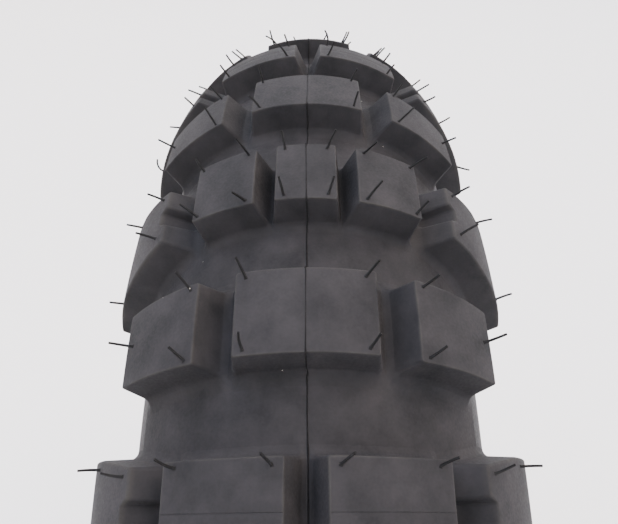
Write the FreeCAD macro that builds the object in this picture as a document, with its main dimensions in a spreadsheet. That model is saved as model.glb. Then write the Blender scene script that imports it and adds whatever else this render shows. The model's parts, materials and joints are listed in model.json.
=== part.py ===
import FreeCAD, Part
import os
import Sketcher

# A block-pattern motorcycle tyre, 150/70-17 in size, in millimetres.
# Y is the wheel's axis, +Z is up, and the origin is the centre of the wheel.
# The layers, sidewalls and beads are rings. Each is drawn as its meridian section in the YZ
# plane, where Y is the distance from the tyre's middle plane and Z is the distance from the
# axle, and is spun about Y. The section follows three lines that run into each other: the
# crown arc, the shoulder arc and the straight lower sidewall. Each layer is a distance out
# from the inside of the tyre. A row of knobs is one block on a plane that touches the tread
# face, trimmed to the tread face and to the casing, and repeated round Y.

SIZES = (
    ("tread_radius", 325.0, "axle to the top of the centre knobs"),
    ("tread_arc", 75.5, "radius of the crowned tread face, seen in section"),
    ("knob_depth", 12.5, "knob top to groove floor"),
    ("crown_span", 60.0, "angle from the middle to where the crown arc ends"),
    ("shoulder_arc", 40.6, "radius of the outside of the shoulder, seen in section"),
    ("wall", 9.5, "whole thickness under the groove floor"),
    ("liner", 1.2, "air-tight inner liner"),
    ("ply", 0.9, "one carcass ply"),
    ("belt", 1.0, "one belt ply"),
    ("belt_span_low", 48.0, "half angle of the lower belt"),
    ("belt_span_high", 44.0, "half angle of the upper belt"),
    ("edge_span", 54.0, "half angle at the outer end of the belt edge strips"),
    ("base_rubber", 2.0, "undertread"),
    ("inner_lean", 20.0, "lean of the inside of the lower sidewall"),
    ("face_lean", 14.0, "lean of the outside of the lower sidewall"),
    ("seat_radius", 218.3, "bead seat, half of the 436.6 mm seat of a 17 inch rim"),
    ("chafer", 1.6, "rubber-coated fabric under the bead"),
    ("core", 2.3, "radius of the cable bead's round section"),
    ("wrap", 0.5, "fabric wound round the bead"),
    ("turn_up_high", 9.0, "tip of the bead filler to the end of the outer ply"),
    ("turn_up_low", 14.0, "tip of the bead filler to the end of the inner ply"),
    ("chafer_back", 19.0, "tip of the bead filler to the outer end of the chafer"),
    ("chafer_front", 5.0, "how far the chafer laps up inside, past the bead"),
    ("heel", 3.0, "size of the rounded bead heel"),
    ("toe", 0.8, "size of the blunted bead toe"),
    ("row_step", 10.0, "angle from one row of knobs to the next"),
    ("block_angle", 5.0, "length of a knob round the tyre, as an angle"),
    ("draft", 5.0, "slope of the knob walls"),
    ("root", 24.0, "how far a knob is drawn inwards before the casing trims it"),
    ("centre_out", 16.6, "centre knob, end"),
    ("side_in", 26.8, "side knob, inner edge"),
    ("side_out", 52.6, "side knob, outer edge"),
    ("twin_in", 4.5, "twin knob, inner edge"),
    ("twin_out", 32.3, "twin knob, outer edge"),
    ("short_centre_out", 8.0, "short centre knob, end"),
    ("short_side_in", 13.7, "short side knob, inner edge"),
    ("short_side_out", 31.6, "short side knob, outer edge"),
    ("shoulder_in", 43.8, "shoulder knob, inner edge"),
    ("shoulder_flare", 60.0, "shoulder knob, where it is full length"),
    ("shoulder_out", 84.0, "shoulder knob, outer edge"),
    ("flare_angle", 7.3, "length of a shoulder knob where it is full length"),
    ("notch", 3.0, "depth of the notches in the shoulder knobs"),
    ("notch_width", 6.0, "width of the notches in the shoulder knobs"),
    ("sipe", 0.6, "width of the fine cut across a twin knob"),
    ("sipe_depth", 4.0, "depth of the fine cut across a twin knob"),
)

# Expressions that the sketches share, in the sheet's own names.
MIDDLE = "(Sizes.tread_radius - Sizes.tread_arc)"
FLOOR = "(Sizes.tread_arc - Sizes.knob_depth)"
INSIDE = f"({FLOOR} - Sizes.wall)"
SHOULDER = "(Sizes.shoulder_arc - Sizes.wall)"
SHOULDER_Y = f"(({INSIDE} - {SHOULDER}) * sin(Sizes.crown_span))"
SHOULDER_Z = f"({MIDDLE} + ({INSIDE} - {SHOULDER}) * cos(Sizes.crown_span))"
PLIES = "(Sizes.liner + 2 * Sizes.ply)"
BELTS = f"({PLIES} + 2 * Sizes.belt)"
BASE = f"({BELTS} + Sizes.base_rubber)"
BEAD = "(Sizes.core + Sizes.wrap)"
BEAD_Z = f"(Sizes.seat_radius + Sizes.chafer + 2 * Sizes.ply + {BEAD})"

LEFT = -1
RIGHT = 1
ROWS_EACH_WAY = 18
ROWS_OF_ONE_KIND = 9


def crown(depth, angle, side):
    """A point on the crown arc, at a distance out from the inside of the tyre."""
    radius = f"({INSIDE} + {depth})"
    return f"{side} * {radius} * sin({angle})", f"{MIDDLE} + {radius} * cos({angle})"


def crown_centre():
    return "0 * Sizes.wall", MIDDLE


def tread(angle, side):
    """A point on the crowned face that the knob tops lie in."""
    y = f"{side} * Sizes.tread_arc * sin({angle})"
    return y, f"{MIDDLE} + Sizes.tread_arc * cos({angle})"


def lower(depth, down, side):
    """A point beside the straight inner line of the lower sidewall.

    down is the distance below the end of the shoulder arc.
    """
    radius = f"({SHOULDER} + {depth})"
    y = f"{side} * ({SHOULDER_Y} + {radius} * cos(Sizes.inner_lean) - {down} * sin(Sizes.inner_lean))"
    z = f"{SHOULDER_Z} - {radius} * sin(Sizes.inner_lean) - {down} * cos(Sizes.inner_lean)"
    return y, z


def shoulder_centre(side):
    return f"{side} * {SHOULDER_Y}", SHOULDER_Z


def bead_drop():
    """How far the bead's centre lies below the end of the shoulder arc."""
    radius = f"({SHOULDER} + {PLIES} + {BEAD})"
    return f"(({SHOULDER_Z} - {radius} * sin(Sizes.inner_lean) - {BEAD_Z}) / cos(Sizes.inner_lean))"


def bead_centre(side):
    return lower(f"({PLIES} + {BEAD})", bead_drop(), side)


def wedge():
    """The angle at the tip of the bead filler, between the plies and their turn-ups."""
    return f"(2 * atan({BEAD} / {bead_drop()}) / 1 deg)"


def turn_up(out, down, side):
    """A point beside the outer side of the bead filler.

    down is the distance below the filler's tip, and out is the distance outwards.
    """
    tip_y, tip_z = lower(PLIES, "0", 1)
    lean = f"(Sizes.inner_lean - {wedge()})"
    y = f"{side} * ({tip_y} - {down} * sin({lean}) + {out} * cos({lean}))"
    z = f"{tip_z} - {down} * cos({lean}) - {out} * sin({lean})"
    return y, z


def outside(down, side):
    """A point on the outer face of the lower sidewall, below the end of its shoulder arc."""
    y = (
        f"{side} * ({SHOULDER_Y} + Sizes.shoulder_arc * cos(Sizes.face_lean)"
        f" - {down} * sin(Sizes.face_lean))"
    )
    z = f"{SHOULDER_Z} - Sizes.shoulder_arc * sin(Sizes.face_lean) - {down} * cos(Sizes.face_lean)"
    return y, z


def outside_drop(height):
    """How far down the outer face a given distance from the axle lies."""
    top = f"({SHOULDER_Z} - Sizes.shoulder_arc * sin(Sizes.face_lean))"
    return f"(({top} - ({height})) / cos(Sizes.face_lean))"


def make_sheet(doc):
    sheet = doc.addObject("Spreadsheet::Sheet", "Sizes")
    for row, (alias, value, note) in enumerate(SIZES, start=1):
        sheet.set(f"A{row}", alias)
        sheet.set(f"B{row}", str(value))
        sheet.set(f"C{row}", note)
        sheet.setAlias(f"B{row}", alias)
    doc.recompute()
    return sheet


def fix(sketch, axis, geometry, end, expression):
    """Tie one coordinate of a sketch point to an expression."""
    value = float(sketch.evalExpression(expression))
    index = sketch.addConstraint(
        Sketcher.Constraint(f"Distance{axis}", -1, 1, geometry, end, value)
    )
    sketch.setExpression(f"Constraints[{index}]", expression)


def place(sketch, point):
    """The present place of a point that is given as two expressions."""
    return FreeCAD.Vector(*(float(sketch.evalExpression(part)) for part in point))


def draw(sketch, start, steps):
    """Draw a closed outline and tie each point of it to the sheet.

    Each step is (point,) for a line or (point, centre, turn) for an arc, where turn is 1 for
    anticlockwise and -1 for clockwise. The last step comes back to the start in a line.
    """
    here = place(sketch, start)
    links = []
    for step in steps:
        there = place(sketch, step[0])
        if len(step) == 1:
            index = sketch.addGeometry(Part.LineSegment(here, there))
            first, last = 1, 2
        else:
            centre = place(sketch, step[1])
            ends = (here, there) if step[2] > 0 else (there, here)
            angles = [Part.Circle(centre, FreeCAD.Vector(0, 0, 1), 1).parameter(p) for p in ends]
            circle = Part.Circle(centre, FreeCAD.Vector(0, 0, 1), (here - centre).Length)
            index = sketch.addGeometry(Part.ArcOfCircle(circle, angles[0], angles[1]))
            first, last = (1, 2) if step[2] > 0 else (2, 1)
            fix(sketch, "X", index, 3, step[1][0])
            fix(sketch, "Y", index, 3, step[1][1])
        links.append((index, first, last, step, there))
        here = there
    for (index, first, last, step, there), (after, begin, *_) in zip(links, links[1:] + links[:1]):
        sketch.addConstraint(Sketcher.Constraint("Coincident", index, last, after, begin))
        if len(step) == 1:
            fix(sketch, "X", index, last, step[0][0])
            fix(sketch, "Y", index, last, step[0][1])
            continue
        spoke = there - place(sketch, step[1])
        axis = "X" if abs(spoke.y) > abs(spoke.x) else "Y"
        fix(sketch, axis, index, last, step[0][0 if axis == "X" else 1])


def new_body(doc, label):
    body = doc.addObject("PartDesign::Body", label)
    body.Label = label
    body.AllowCompound = True
    return body


def origin_part(body, role):
    return next(o for o in body.Origin.OriginFeatures if o.Role == role)


def new_sketch(body, name, role):
    sketch = body.newObject("Sketcher::SketchObject", name)
    sketch.AttachmentSupport = (origin_part(body, role), [""])
    sketch.MapMode = "FlatFace"
    return sketch


def turn_full(feature, body, sketch):
    """Spin a section once round the wheel's axis, to add a ring or to cut one away."""
    feature.Profile = sketch
    feature.ReferenceAxis = (origin_part(body, "Y_Axis"), [""])
    feature.Angle = 360.0
    return feature


def close_ring(body, sketch):
    """Finish a body whose whole shape is one spun section."""
    ring = body.newObject("PartDesign::Revolution", f"{body.Label}_ring")
    body.Tip = turn_full(ring, body, sketch)
    body.Placement = FreeCAD.Placement()
    return body


def spin(doc, label, start, steps):
    """A ring whose section is the given outline."""
    body = new_body(doc, label)
    sketch = new_sketch(body, f"{label}_section", "YZ_Plane")
    draw(sketch, start, steps)
    return close_ring(body, sketch)


def spin_round(doc, label, centre, radii):
    """A ring of round section, hollow if there are two radii."""
    body = new_body(doc, label)
    sketch = new_sketch(body, f"{label}_section", "YZ_Plane")
    for radius in radii:
        size = float(sketch.evalExpression(radius))
        index = sketch.addGeometry(
            Part.Circle(place(sketch, centre), FreeCAD.Vector(0, 0, 1), size)
        )
        fix(sketch, "X", index, 3, centre[0])
        fix(sketch, "Y", index, 3, centre[1])
        limit = sketch.addConstraint(Sketcher.Constraint("Radius", index, size))
        sketch.setExpression(f"Constraints[{limit}]", radius)
    return close_ring(body, sketch)


def band(depth_in, depth_out, span):
    """A layer under the tread, from one side to the other, between two depths."""
    start = crown(depth_in, span, LEFT)
    return start, [
        (crown(depth_in, span, RIGHT), crown_centre(), -1),
        (crown(depth_out, span, RIGHT),),
        (crown(depth_out, span, LEFT), crown_centre(), 1),
        (start,),
    ]


def make_liner(doc):
    """The air-tight layer, from one bead toe to the other."""
    end = f"({bead_drop()} - Sizes.chafer_front)"
    inner, outer = "0", "Sizes.liner"
    start = lower(inner, end, LEFT)
    steps = [
        (lower(inner, "0", LEFT),),
        (crown(inner, "Sizes.crown_span", LEFT), shoulder_centre(LEFT), -1),
        (crown(inner, "Sizes.crown_span", RIGHT), crown_centre(), -1),
        (lower(inner, "0", RIGHT), shoulder_centre(RIGHT), -1),
        (lower(inner, end, RIGHT),),
        (lower(outer, end, RIGHT),),
        (lower(outer, "0", RIGHT),),
        (crown(outer, "Sizes.crown_span", RIGHT), shoulder_centre(RIGHT), 1),
        (crown(outer, "Sizes.crown_span", LEFT), crown_centre(), 1),
        (lower(outer, "0", LEFT), shoulder_centre(LEFT), 1),
        (lower(outer, end, LEFT),),
        (start,),
    ]
    return spin(doc, "inner_liner", start, steps)


def make_ply(doc, label, depth, reach, end):
    """One carcass ply: across the tyre, round both beads and up outside the fillers.

    depth is the ply's inside at the crown, and reach is how far its inside lies from the bead.
    """
    drop = bead_drop()
    inner, outer = depth, f"({depth} + Sizes.ply)"
    near, far = reach, f"({reach} + Sizes.ply)"
    start = turn_up(near, end, LEFT)
    steps = [
        (turn_up(near, drop, LEFT),),
        (lower(outer, drop, LEFT), bead_centre(LEFT), 1),
        (lower(outer, "0", LEFT),),
        (crown(outer, "Sizes.crown_span", LEFT), shoulder_centre(LEFT), -1),
        (crown(outer, "Sizes.crown_span", RIGHT), crown_centre(), -1),
        (lower(outer, "0", RIGHT), shoulder_centre(RIGHT), -1),
        (lower(outer, drop, RIGHT),),
        (turn_up(near, drop, RIGHT), bead_centre(RIGHT), 1),
        (turn_up(near, end, RIGHT),),
        (turn_up(far, end, RIGHT),),
        (turn_up(far, drop, RIGHT),),
        (lower(inner, drop, RIGHT), bead_centre(RIGHT), -1),
        (lower(inner, "0", RIGHT),),
        (crown(inner, "Sizes.crown_span", RIGHT), shoulder_centre(RIGHT), 1),
        (crown(inner, "Sizes.crown_span", LEFT), crown_centre(), 1),
        (lower(inner, "0", LEFT), shoulder_centre(LEFT), 1),
        (lower(inner, drop, LEFT),),
        (turn_up(far, drop, LEFT), bead_centre(LEFT), -1),
        (turn_up(far, end, LEFT),),
        (start,),
    ]
    return spin(doc, label, start, steps)


def make_filler(doc, label, side):
    """The hard rubber wedge that stands on the bead between a ply and its turn-up."""
    drop = bead_drop()
    tip = lower(PLIES, "0", side)
    steps = [
        (lower(PLIES, drop, side),),
        (turn_up("0", drop, side), bead_centre(side), -side),
        (tip,),
    ]
    return spin(doc, label, tip, steps)


def make_chafer(doc, label, side):
    """The hard strip round the bead, which the rim touches: toe, seat, heel and outer face."""
    drop = bead_drop()
    lap = f"({drop} - Sizes.chafer_front)"
    seat = "Sizes.seat_radius"
    toe_down = (
        f"(({SHOULDER_Z} - {SHOULDER} * sin(Sizes.inner_lean) - {seat} - Sizes.toe)"
        " / cos(Sizes.inner_lean))"
    )
    toe = lower("0", toe_down, side)
    heel = outside(outside_drop(f"({seat} + Sizes.heel)"), side)
    plies = "(2 * Sizes.ply)"
    start = lower("0", lap, side)
    steps = [
        (toe,),
        ((f"{toe[0]} + {side} * Sizes.toe", seat),),
        ((f"{heel[0]} - {side} * Sizes.heel", seat),),
        (heel,),
        (outside(outside_drop(chafer_height()), side),),
        (turn_up(plies, "Sizes.chafer_back", side),),
        (turn_up(plies, drop, side),),
        (lower("Sizes.liner", drop, side), bead_centre(side), -side),
        (lower("Sizes.liner", lap, side),),
        (start,),
    ]
    return spin(doc, label, start, steps)


def chafer_height():
    """How far from the axle the chafer ends on the outer face."""
    return turn_up("(2 * Sizes.ply)", "Sizes.chafer_back", 1)[1]


def make_sidewall(doc, label, side):
    """The outer rubber from the tread's edge down to the chafer."""
    plies = "(2 * Sizes.ply)"
    span = "Sizes.crown_span"
    start = crown(PLIES, span, side)
    steps = [
        (crown("Sizes.wall", span, side),),
        (outside("0", side), shoulder_centre(side), -side),
        (outside(outside_drop(chafer_height()), side),),
        (turn_up(plies, "Sizes.chafer_back", side),),
        (turn_up(plies, "Sizes.turn_up_low", side),),
        (turn_up("Sizes.ply", "Sizes.turn_up_low", side),),
        (turn_up("Sizes.ply", "Sizes.turn_up_high", side),),
        (turn_up("0", "Sizes.turn_up_high", side),),
        (lower(PLIES, "0", side),),
        (start, shoulder_centre(side), side),
    ]
    return spin(doc, label, *close_with_line(start, steps))


def close_with_line(start, steps):
    """Turn an outline round so that its last step is a line."""
    first = steps[0]
    return first[0], steps[1:] + [first]


def make_edge_strip(doc, label, side):
    """The soft strip that covers the cut edges of both belts."""
    low, high = f"({PLIES} + Sizes.belt)", BELTS
    start = crown(PLIES, "Sizes.belt_span_low", side)
    steps = [
        (crown(PLIES, "Sizes.edge_span", side), crown_centre(), -side),
        (crown(high, "Sizes.edge_span", side),),
        (crown(high, "Sizes.belt_span_high", side), crown_centre(), side),
        (crown(low, "Sizes.belt_span_high", side),),
        (crown(low, "Sizes.belt_span_low", side), crown_centre(), -side),
        (start,),
    ]
    return spin(doc, label, start, steps)


def make_tread_base(doc):
    """The undertread: it covers the belts and meets the sidewalls."""
    start = crown(PLIES, "Sizes.crown_span", LEFT)
    steps = [
        (crown(PLIES, "Sizes.edge_span", LEFT), crown_centre(), -1),
        (crown(BELTS, "Sizes.edge_span", LEFT),),
        (crown(BELTS, "Sizes.edge_span", RIGHT), crown_centre(), -1),
        (crown(PLIES, "Sizes.edge_span", RIGHT),),
        (crown(PLIES, "Sizes.crown_span", RIGHT), crown_centre(), -1),
        (crown(BASE, "Sizes.crown_span", RIGHT),),
        (crown(BASE, "Sizes.crown_span", LEFT), crown_centre(), 1),
        (start,),
    ]
    return spin(doc, "tread_base", start, steps)


def block_half(span, angle):
    """Half the length of a knob round the tyre, at an angle out from the middle."""
    return f"({MIDDLE} + Sizes.tread_arc * cos({angle})) * sin({span} / 2)"


def across(angle, tilt, side):
    """How far sideways in a knob's own plane an angle on the tread face lies."""
    return f"{side} * Sizes.tread_arc * sin({angle} - {tilt})"


def plain_outline(first, last, tilt, side, inner_side):
    """Four corners of a knob, at the tread face. inner_side is the side that first lies on."""
    near = across(first, tilt, inner_side)
    far = across(last, tilt, side)
    near_half = block_half("Sizes.block_angle", first)
    far_half = block_half("Sizes.block_angle", last)
    return [
        (f"0 - {near_half}", near),
        (near_half, near),
        (far_half, far),
        (f"0 - {far_half}", far),
    ]


def shoulder_outline(tilt, side):
    """The shoulder knob: it widens outwards and has a notch in each end."""
    near = across("Sizes.shoulder_in", tilt, side)
    flare = across("Sizes.shoulder_flare", tilt, side)
    far = across("Sizes.shoulder_out", tilt, side)
    near_half = block_half("Sizes.block_angle", "Sizes.shoulder_in")
    flare_half = block_half("Sizes.flare_angle", "Sizes.shoulder_flare")
    far_half = block_half("Sizes.flare_angle", "Sizes.shoulder_out")
    mouth = "Sizes.notch_width / 2 + Sizes.notch / 2"
    floor = "Sizes.notch_width / 2"
    near_floor = f"{near} + {side} * Sizes.notch"
    far_floor = f"{far} - {side} * Sizes.notch"
    return [
        (f"0 - {near_half}", near),
        (f"0 - ({mouth})", near),
        (f"0 - {floor}", near_floor),
        (floor, near_floor),
        (mouth, near),
        (near_half, near),
        (flare_half, flare),
        (far_half, far),
        (mouth, far),
        (floor, far_floor),
        (f"0 - {floor}", far_floor),
        (f"0 - ({mouth})", far),
        (f"0 - {far_half}", far),
        (f"0 - {flare_half}", flare),
    ]


def knob_plane(body, name, tilt, side):
    """A sketch on the plane that touches the tread face at the given angle."""
    sketch = new_sketch(body, name, "XY_Plane")
    turn = FreeCAD.Rotation(FreeCAD.Vector(-side, 0, 0), float(sketch.evalExpression(tilt)))
    touch = place(sketch, tread(tilt, side))
    sketch.AttachmentOffset = FreeCAD.Placement(FreeCAD.Vector(0, touch.x, touch.y), turn)
    sketch.setExpression("AttachmentOffset.Base.y", tread(tilt, side)[0])
    sketch.setExpression("AttachmentOffset.Base.z", tread(tilt, side)[1])
    if turn.Angle:
        sketch.setExpression("AttachmentOffset.Rotation.Angle", tilt)
    return sketch


def cut_round(body, name, start, steps):
    """Cut away whatever lies in a section spun about the wheel's axis."""
    sketch = new_sketch(body, f"{name}_section", "YZ_Plane")
    draw(sketch, start, steps)
    return turn_full(body.newObject("PartDesign::Groove", name), body, sketch)


def trim_to_tread(body, label):
    """Cut off what stands above the crowned tread face."""
    low = "90 + Sizes.draft"
    edge = "(Sizes.tread_arc + Sizes.root)"
    top = "Sizes.tread_radius + Sizes.root"
    start = tread(low, LEFT)
    steps = [
        (tread(low, RIGHT), crown_centre(), -1),
        ((edge, tread(low, RIGHT)[1]),),
        ((edge, top),),
        ((f"0 - {edge}", top),),
        ((f"0 - {edge}", tread(low, LEFT)[1]),),
        (start,),
    ]
    return cut_round(body, f"{label}_top", start, steps)


def trim_to_casing(body, label):
    """Cut off what reaches inside the groove floor and the shoulder."""
    start = outside("Sizes.root", LEFT)
    steps = [
        (outside("0", LEFT),),
        (crown("Sizes.wall", "Sizes.crown_span", LEFT), shoulder_centre(LEFT), -1),
        (crown("Sizes.wall", "Sizes.crown_span", RIGHT), crown_centre(), -1),
        (outside("0", RIGHT), shoulder_centre(RIGHT), -1),
        (outside("Sizes.root", RIGHT),),
        (start,),
    ]
    return cut_round(body, f"{label}_foot", start, steps)


def cut_sipe(body, label, tilt, side):
    """A fine cut across the middle of the knob."""
    sketch = knob_plane(body, f"{label}_sipe_outline", tilt, side)
    half = "Sizes.sipe / 2"
    corners = [
        (f"0 - {half}", "0 - Sizes.tread_arc"),
        (half, "0 - Sizes.tread_arc"),
        (half, "Sizes.tread_arc + 0"),
        (f"0 - {half}", "Sizes.tread_arc + 0"),
    ]
    draw(sketch, corners[0], [(corner,) for corner in corners[1:] + corners[:1]])
    pocket = body.newObject("PartDesign::Pocket", f"{label}_sipe")
    pocket.Profile = sketch
    pocket.setExpression("Length", "Sizes.sipe_depth")
    return pocket


def make_knobs(doc, label, tilt, side, corners, first_row, count, sipe=False):
    """A ring of equal knobs: one block, trimmed to the tread and the casing, then repeated."""
    body = new_body(doc, label)
    sketch = knob_plane(body, f"{label}_outline", tilt, side)
    draw(sketch, corners[0], [(corner,) for corner in corners[1:] + corners[:1]])
    block = body.newObject("PartDesign::Pad", f"{label}_block")
    block.Profile = sketch
    block.Reversed = True
    block.setExpression("Length", "Sizes.root")
    block.setExpression("TaperAngle", "Sizes.draft")
    stages = [block, trim_to_tread(body, label), trim_to_casing(body, label)]
    if sipe:
        stages.append(cut_sipe(body, label, tilt, side))
    doc.recompute()
    for before, after in zip(stages, stages[1:]):
        if not after.Shape.Volume < before.Shape.Volume:
            raise RuntimeError(f"{after.Name} cut nothing")
    ring = body.newObject("PartDesign::PolarPattern", f"{label}_ring")
    ring.TransformMode = "Whole shape"
    ring.Axis = (origin_part(body, "Y_Axis"), [""])
    ring.Angle = 360.0
    ring.Occurrences = count
    body.Tip = ring
    body.Placement = FreeCAD.Placement(
        FreeCAD.Vector(), FreeCAD.Rotation(FreeCAD.Vector(0, 1, 0), 1)
    )
    body.setExpression("Placement.Rotation.Angle", f"{first_row} * Sizes.row_step")
    return body


def middle_of(first, last):
    return f"(Sizes.{first} + Sizes.{last}) / 2"


def make_side_knobs(doc, label, first, last, side, first_row, count, sipe=False):
    """A ring of knobs that lie on one side of the middle."""
    tilt = f"({middle_of(first, last)})"
    corners = plain_outline(f"Sizes.{first}", f"Sizes.{last}", tilt, side, side)
    return make_knobs(doc, label, tilt, side, corners, first_row, count, sipe)


def make_middle_knobs(doc, label, last, first_row, count):
    """A ring of knobs that lie across the middle."""
    corners = plain_outline(f"Sizes.{last}", f"Sizes.{last}", "0", RIGHT, LEFT)
    return make_knobs(doc, label, "0", RIGHT, corners, first_row, count)


def make_shoulder_knobs(doc, label, side):
    """The long knobs that run down over the shoulder, in every other row."""
    tilt = f"({middle_of('shoulder_in', 'shoulder_out')})"
    return make_knobs(doc, label, tilt, side, shoulder_outline(tilt, side), 0, ROWS_EACH_WAY)


def make_pieces(doc):
    """Every piece of the tyre, from the inside out."""
    low_belt = f"({PLIES} + Sizes.belt)"
    pieces = [
        make_liner(doc),
        make_ply(doc, "carcass_ply_inner", "Sizes.liner", "Sizes.ply", "Sizes.turn_up_low"),
        make_ply(
            doc, "carcass_ply_outer", "(Sizes.liner + Sizes.ply)", "0", "Sizes.turn_up_high"
        ),
        spin(doc, "belt_ply_lower", *band(PLIES, low_belt, "Sizes.belt_span_low")),
        spin(doc, "belt_ply_upper", *band(low_belt, BELTS, "Sizes.belt_span_high")),
        make_tread_base(doc),
        spin(doc, "tread_cap", *band(BASE, "Sizes.wall", "Sizes.crown_span")),
        make_middle_knobs(doc, "centre_knobs", "centre_out", 1, ROWS_EACH_WAY),
        make_middle_knobs(doc, "short_centre_knobs", "short_centre_out", 2, ROWS_OF_ONE_KIND),
    ]
    for name, side in (("left", LEFT), ("right", RIGHT)):
        pieces += [
            spin_round(doc, f"bead_core_{name}", bead_centre(side), ["Sizes.core"]),
            spin_round(doc, f"bead_wrap_{name}", bead_centre(side), ["Sizes.core", BEAD]),
            make_filler(doc, f"bead_filler_{name}", side),
            make_chafer(doc, f"chafer_{name}", side),
            make_sidewall(doc, f"sidewall_{name}", side),
            make_edge_strip(doc, f"belt_edge_strip_{name}", side),
            make_side_knobs(
                doc, f"side_knobs_{name}", "side_in", "side_out", side, 1, ROWS_EACH_WAY
            ),
            make_side_knobs(
                doc, f"twin_knobs_{name}", "twin_in", "twin_out", side, 0, ROWS_OF_ONE_KIND, True
            ),
            make_side_knobs(
                doc,
                f"short_side_knobs_{name}",
                "short_side_in",
                "short_side_out",
                side,
                2,
                ROWS_OF_ONE_KIND,
            ),
            make_shoulder_knobs(doc, f"shoulder_knobs_{name}", side),
        ]
    return pieces


def check(doc, pieces):
    """Stop if anything failed to build or is not a sound solid."""
    for item in doc.Objects:
        if "Invalid" in item.State or "Error" in item.State:
            raise RuntimeError(f"{item.Name} failed: {item.State}")
    for piece in pieces:
        if piece.Shape.isNull() or not piece.Shape.isValid() or not piece.Shape.Solids:
            raise RuntimeError(f"{piece.Label} is not a sound solid")


def write(pieces):
    os.makedirs("parts", exist_ok=True)
    for piece in pieces:
        piece.Shape.exportStep(os.path.join("parts", f"{piece.Label}.step"))


def main():
    doc = FreeCAD.newDocument("tyre")
    make_sheet(doc)
    pieces = make_pieces(doc)
    doc.recompute()
    check(doc, pieces)
    write(pieces)


main()
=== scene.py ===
import json
import logging
import math
import random
from collections.abc import Callable
from dataclasses import dataclass, field
from enum import Enum

import bmesh
import bpy
from bmesh.types import BMEdge, BMesh, BMVert
from bpy.types import Material, NodeSocket, Object, ShaderNode, ShaderNodeTree
from mathutils import Matrix, Vector


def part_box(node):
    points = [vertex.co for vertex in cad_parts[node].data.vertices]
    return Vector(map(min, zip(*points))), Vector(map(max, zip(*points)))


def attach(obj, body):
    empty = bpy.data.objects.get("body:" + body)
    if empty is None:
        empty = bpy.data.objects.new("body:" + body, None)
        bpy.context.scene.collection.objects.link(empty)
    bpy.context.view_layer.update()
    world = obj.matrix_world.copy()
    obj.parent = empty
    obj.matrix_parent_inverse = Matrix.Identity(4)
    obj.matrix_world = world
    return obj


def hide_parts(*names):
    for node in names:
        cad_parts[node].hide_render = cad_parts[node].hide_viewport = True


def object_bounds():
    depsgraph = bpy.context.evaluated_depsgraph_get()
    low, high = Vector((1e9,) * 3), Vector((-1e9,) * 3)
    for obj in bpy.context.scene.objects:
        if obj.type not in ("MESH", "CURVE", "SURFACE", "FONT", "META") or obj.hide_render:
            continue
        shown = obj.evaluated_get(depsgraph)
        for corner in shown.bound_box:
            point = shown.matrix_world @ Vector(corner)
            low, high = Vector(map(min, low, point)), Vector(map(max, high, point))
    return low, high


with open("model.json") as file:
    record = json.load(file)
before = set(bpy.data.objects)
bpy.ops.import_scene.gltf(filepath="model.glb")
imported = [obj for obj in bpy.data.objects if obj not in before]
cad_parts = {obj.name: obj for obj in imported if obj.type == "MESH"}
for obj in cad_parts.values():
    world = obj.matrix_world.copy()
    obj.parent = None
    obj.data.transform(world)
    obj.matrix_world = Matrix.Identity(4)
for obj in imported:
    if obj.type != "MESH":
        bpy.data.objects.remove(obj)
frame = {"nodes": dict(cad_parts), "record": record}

# A block-pattern motorcycle tyre. The axle is Y, +Z is up, the wheel's centre is the origin, and
# rows of knobs are counted from the top towards +X. Lengths are in metres.

LOG = logging.getLogger("tyre")
CAD_BOX = [list(corner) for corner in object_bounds()]
BODY = "root"
MM = 0.001
FULL_TURN = 2 * math.pi
ROW_STEP = math.radians(10)
ROWS = 36
SECTORS = 36
MERGE = 0.002 * MM
SHARP_ANGLE = math.radians(42)
SEED = 17


class Side(Enum):
    """Which side of the middle plane a piece lies on."""

    LEFT = -1
    RIGHT = 1


class Row(Enum):
    """The kinds of knob row, each as its first row and the step to the next."""

    TWIN = (0, 4)
    WIDE = (1, 2)
    SHORT = (2, 4)
    SHOULDER = (0, 2)

    @property
    def first(self) -> float:
        """Angle of the first row of this kind."""
        return self.value[0] * ROW_STEP

    @property
    def count(self) -> int:
        """How many rows of this kind the tyre has."""
        return ROWS // self.value[1]


class Slot(Enum):
    """The material slots of the design."""

    TREAD = "tread_rubber"
    SIDEWALL = "sidewall_rubber"
    CHAFER = "chafer_rubber"
    LINER = "liner_rubber"


# ---------------------------------------------------------------- shared mesh tools


def polar(radius: float, angle: float) -> Vector:
    """A step (across, out) of a given length at an angle from straight out."""
    return Vector((radius * math.sin(angle), radius * math.cos(angle)))


def arc(centre: Vector, radius: float, start: float, stop: float, steps: int) -> list[Vector]:
    """Points along an arc.

    Args:
        centre: the arc's centre, (across, out).
        radius: its radius.
        start: first angle from straight out, in radians.
        stop: last angle.
        steps: how many chords.

    Returns:
        The points, both ends included.
    """
    return [centre + polar(radius, start + (stop - start) * i / steps) for i in range(steps + 1)]


def about_axle(point: Vector, angle: float) -> Vector:
    """The place in space of a section point (across, out), at an angle round the tyre."""
    return Vector((point.y * math.sin(angle), point.x, point.y * math.cos(angle)))


def round_axle(angle: float) -> Matrix:
    """The turn about the axle that carries the top towards +X."""
    return Matrix.Rotation(angle, 4, "Y")


def new_parts(result: dict, kind: type) -> list:
    """The vertices, edges or faces that a bmesh operator made."""
    return [item for item in result["geom"] if isinstance(item, kind)]


def with_faces(verts: list[BMVert]) -> list:
    """Vertices with every edge and face that touches them."""
    edges = dict.fromkeys(edge for vert in verts for edge in vert.link_edges)
    faces = dict.fromkeys(face for vert in verts for face in vert.link_faces)
    return [*verts, *edges, *faces]


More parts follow.
